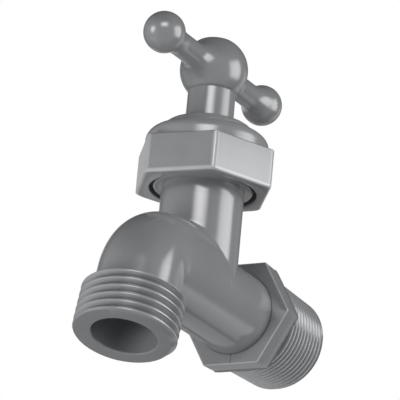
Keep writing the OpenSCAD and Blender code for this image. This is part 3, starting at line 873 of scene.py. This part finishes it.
def handleCutters():
    # The seat on the stem's shoulder, the well for the screw's head, the screw's hole and the drive's square
    shoulder, recess, well = stem["shoulder"], handle["recess"], handle["recessRadius"]
    under = revolved([[0, 40], [14, 40], [14, shoulder + 0.6], [6.6, shoulder + 0.35], [6.1, shoulder],
                      [0, shoulder]], handle["columns"])
    rim = handle["hubZ"] + np.sqrt(handle["hubRadius"] ** 2 - well ** 2)
    wellShape = revolved([[0, recess], [well, recess], [well, rim - 0.5], [well + 0.2, rim - 0.2],
                          [well + 1.2, rim + 0.3], [well + 1.2, rim + 4], [0, rim + 4]], 96)
    hole = handle["screwHole"]
    holeShape = revolved([[0, shoulder - 1], [hole, shoulder - 1], [hole, recess + 1], [0, recess + 1]], 48)
    socket = squarePrism(stem["drive"] / 2 + handle["driveGap"], shoulder - 1, stem["driveTop"] + 0.4)
    return under, wellShape, holeShape, socket


def makeHandle():
    # The profile carried round the Y axis, the two arms a little above the middle of the ball
    profile = armProfile()
    profile = np.concatenate([(profile * [1, -1])[:0:-1], profile])
    profile[[0, -1], 0] = 0
    grid = alongY(revolved(profile, handle["columns"]))
    out = np.clip((np.abs(grid[..., 1]) - handle["riseFrom"]) / handle["riseOver"], 0, 1)
    grid[..., 2] += handle["armRise"] * out ** 2 * (3 - 2 * out)
    piece = gridObject("handle_skin", onStem(grid) + [0, 0, handle["hubZ"]])
    cutters = handleCutters()
    combine(piece, [gridObject("cutter", onStem(shape)) for shape in cutters], "DIFFERENCE")
    finishPiece(piece, "spindle", "handle_plastic", "handle")


makeHandle()


# Solids that stay as they are

for row in frame["record"]["subparts"]:
    node = frame["nodes"][row["node"]]
    node.data.materials.clear()
    node.data.materials.append(finishes[row["material_slot"]])
print("kept solids painted")


# Camera, studio and lights

photo = {
    "place": (0.50201, -0.91845, -0.32363), "azimuth": 29.80, "elevation": -18.97, "roll": 5.31,
    "lens": 369.56, "sensor": 36,
}


def placeCamera():
    # Level right and up directions from the view's azimuth and elevation, then the roll between them
    azimuth, elevation, roll = (np.radians(photo[key]) for key in ("azimuth", "elevation", "roll"))
    level = np.cos(elevation)
    back = Vector((np.sin(azimuth) * level, -np.cos(azimuth) * level, np.sin(elevation)))
    right = Vector((np.cos(azimuth), np.sin(azimuth), 0))
    up = back.cross(right)
    x = right * np.cos(roll) + up * np.sin(roll)
    y = up * np.cos(roll) - right * np.sin(roll)
    data = bpy.data.cameras.new("camera")
    data.lens = photo["lens"]
    data.sensor_width = photo["sensor"]
    data.clip_start, data.clip_end = 0.05, 20
    camera = bpy.data.objects.new("camera", data)
    camera.matrix_world = Matrix.Translation(photo["place"]) @ Matrix((x, y, back)).transposed().to_4x4()
    bpy.context.scene.collection.objects.link(camera)
    bpy.context.scene.camera = camera


placeCamera()
bpy.context.scene.view_settings.view_transform = "Standard"

# Pairs of a place and a brightness: the ambient lights the object, the room is what mirrors and glass see.
# Places run from -1 below to 1 overhead, and for roomBehind from -1 in front of the object to 1 behind it.
# Two white cards stand behind, their sides given as X over Y, then their heights; the first has a thin gap.
studio = {
    "floorDepth": -0.45, "floorSize": 4, "floorShade": (0.8, 0.8, 0.81),
    "floorGlow": 0.45, "floorRoughness": 0.9,
    "ambient": ((-0.6, 0.5), (0.1, 0.33)),
    "room": ((0.4, 0.6), (0.85, 0.06)), "roomBehind": ((0, 1), (0.3, 0.2)),
    "cards": (
        (((-0.62, 0), (-0.6, 0.55), (-0.17, 0.58), (-0.13, 0.06),
          (-0.05, 0.06), (-0.01, 0.52), (0.5, 1.3), (0.54, 0)),
         ((-0.66, 0), (-0.6, 1), (0.2, 1), (0.34, 0))),
        (((-1.3, 0), (-1.2, 0.7), (-0.72, 0.7), (-0.64, 0)), ((-0.5, 0), (-0.3, 1), (0.4, 1), (0.5, 0))),
    ),
    "aim": (0, -0.045, 0.015),
}


def graded(tree, value, low, high, stops):
    # A value turned into a brightness by straight lines between the stops
    scaled = tree.nodes.new("ShaderNodeMapRange")
    scaled.inputs["From Min"].default_value = low
    scaled.inputs["From Max"].default_value = high
    ramp = tree.nodes.new("ShaderNodeValToRGB")
    elements = ramp.color_ramp.elements
    elements.remove(elements[1])
    for count, (at, shade) in enumerate(stops):
        stop = elements.new((at - low) / (high - low)) if count else elements[0]
        stop.position = (at - low) / (high - low)
        stop.color = (shade, shade, shade, 1)
    tree.links.new(value, scaled.inputs["Value"])
    tree.links.new(scaled.outputs[0], ramp.inputs["Fac"])
    return ramp.outputs["Color"]


def chosen(tree, factor, first, second):
    # The first shader where the factor is 0, the second where it is 1
    mix = tree.nodes.new("ShaderNodeMixShader")
    tree.links.new(factor, mix.inputs["Fac"])
    tree.links.new(first, mix.inputs[1])
    tree.links.new(second, mix.inputs[2])
    return mix.outputs[0]


def makeStudio():
    # The camera sees plain white, mirrors and glass see the room, and the rest of the light is the ambient
    world = bpy.data.worlds.new("studio")
    world.use_nodes = True
    bpy.context.scene.world = world
    tree = world.node_tree
    nodes, links = tree.nodes, tree.links
    x, y, z = axesOf(tree, nodes.new("ShaderNodeTexCoord").outputs["Generated"])
    ambient = nodes["Background"]
    ambient.inputs["Color"].default_value = (1, 1, 1, 1)
    links.new(graded(tree, z, -1, 1, studio["ambient"]), ambient.inputs["Strength"])
    aside = computed(tree, "DIVIDE", x, y)
    cards = [computed(tree, "MULTIPLY", graded(tree, aside, -1.5, 1.5, sides),
                      graded(tree, z, -1, 1, heights)) for sides, heights in studio["cards"]]
    card = computed(tree, "MULTIPLY", computed(tree, "ADD", *cards), computed(tree, "GREATER_THAN", y, 0))
    room = computed(tree, "MULTIPLY", graded(tree, z, -1, 1, studio["room"]),
                    graded(tree, y, -1, 1, studio["roomBehind"]))
    mirrored, white = nodes.new("ShaderNodeBackground"), nodes.new("ShaderNodeBackground")
    links.new(computed(tree, "ADD", card, room), mirrored.inputs["Strength"])
    white.inputs["Color"].default_value = (1, 1, 1, 1)
    path = nodes.new("ShaderNodeLightPath").outputs
    glassOrGloss = computed(tree, "MAXIMUM", path["Is Glossy Ray"], path["Is Transmission Ray"])
    lit = chosen(tree, glassOrGloss, ambient.outputs[0], mirrored.outputs[0])
    seen = chosen(tree, path["Is Camera Ray"], lit, white.outputs[0])
    links.new(seen, nodes["World Output"].inputs["Surface"])


def makeFloor():
    # A pale square that glows evenly, and neither lights the object nor is mirrored in it
    size, depth = studio["floorSize"] / 2, studio["floorDepth"]
    corners = [(-size, -size, depth), (size, -size, depth), (size, size, depth), (-size, size, depth)]
    mesh = bpy.data.meshes.new("floor")
    mesh.from_pydata(corners, [], [(0, 1, 2, 3)])
    floor = bpy.data.objects.new("floor", mesh)
    bpy.context.scene.collection.objects.link(floor)
    paint = bpy.data.materials.new("floorPaint")
    paint.use_nodes = True
    shader = paint.node_tree.nodes["Principled BSDF"]
    shader.inputs["Base Color"].default_value = (*studio["floorShade"], 1)
    shader.inputs["Roughness"].default_value = studio["floorRoughness"]
    shader.inputs["Emission Color"].default_value = (1, 1, 1, 1)
    shader.inputs["Emission Strength"].default_value = studio["floorGlow"]
    floor.visible_glossy = floor.visible_diffuse = False
    floor.data.materials.append(paint)


makeStudio()
makeFloor()

# Lamps round the camera's own axis: degrees to its right and above it, distance and size in metres, power in
# watts, and how late the brightness falls towards the edges
softBoxes = {
    "overhead": {
        "right": 1, "above": 43, "distance": 1.0, "width": 0.78, "height": 0.52, "power": 11.6, "fade": 1.6,
    },
    "rightWall": {
        "right": 80, "above": 4, "distance": 1.0, "width": 0.96, "height": 1.0, "power": 15.4, "fade": 4,
    },
    "lowLeft": {
        "right": -62, "above": -18, "distance": 0.42, "width": 0.3, "height": 0.3, "power": 2.5, "fade": 4,
        "mirrored": False,
    },
    "handleSpark": {
        "right": -66, "above": 15, "distance": 1.0, "width": 0.62, "height": 0.66, "power": 10, "fade": 1.5,
        "scattered": False, "only": "handle_skin",
    },
    "back": {
        "right": 180, "above": 20, "distance": 1.2, "width": 0.9, "height": 0.9, "power": 9, "fade": 4,
        "mirrored": False,
    },
}


def fadeEdges(light, power):
    # Brightness is the product over both sides of 1 minus the distance from the middle, 0 to 1, to the power
    light.use_nodes = True
    tree = light.node_tree
    sides = axesOf(tree, tree.nodes.new("ShaderNodeNewGeometry").outputs["Parametric"])[:2]
    fades = []
    for side in sides:
        fromMiddle = computed(tree, "ABSOLUTE", computed(tree, "MULTIPLY_ADD", side, 2, -1))
        fades.append(computed(tree, "SUBTRACT", 1, computed(tree, "POWER", fromMiddle, power)))
    tree.links.new(computed(tree, "MULTIPLY", *fades), tree.nodes["Emission"].inputs["Strength"])


def placeLights():
    # Each lamp stands off the aim in its own direction, faces it, and lies level with the camera
    aim = Vector(studio["aim"])
    turnCamera = bpy.context.scene.camera.matrix_world.to_3x3()
    for name, box in softBoxes.items():
        right, above = np.radians(box["right"]), np.radians(box["above"])
        level = np.cos(above)
        away = turnCamera @ Vector((np.sin(right) * level, np.sin(above), np.cos(right) * level))
        sideways = (turnCamera @ Vector((0, 1, 0))).cross(away).normalized()
        data = bpy.data.lights.new(name, "AREA")
        data.shape = "RECTANGLE"
        data.size, data.size_y = box["width"], box["height"]
        data.energy = box["power"]
        fadeEdges(data, box["fade"])
        light = bpy.data.objects.new(name, data)
        light.visible_glossy = box.get("mirrored", True)
        light.visible_diffuse = box.get("scattered", True)
        light.visible_camera = False
        if "only" in box:
            lit = bpy.data.collections.new(name)
            lit.objects.link(bpy.data.objects[box["only"]])
            light.light_linking.receiver_collection = lit
        turn = Matrix((sideways, away.cross(sideways), away)).transposed().to_4x4()
        light.matrix_world = Matrix.Translation(aim + away * box["distance"]) @ turn
        bpy.context.scene.collection.objects.link(light)


placeLights()
print("studio ready")

bpy.data.collections.remove(scratch)
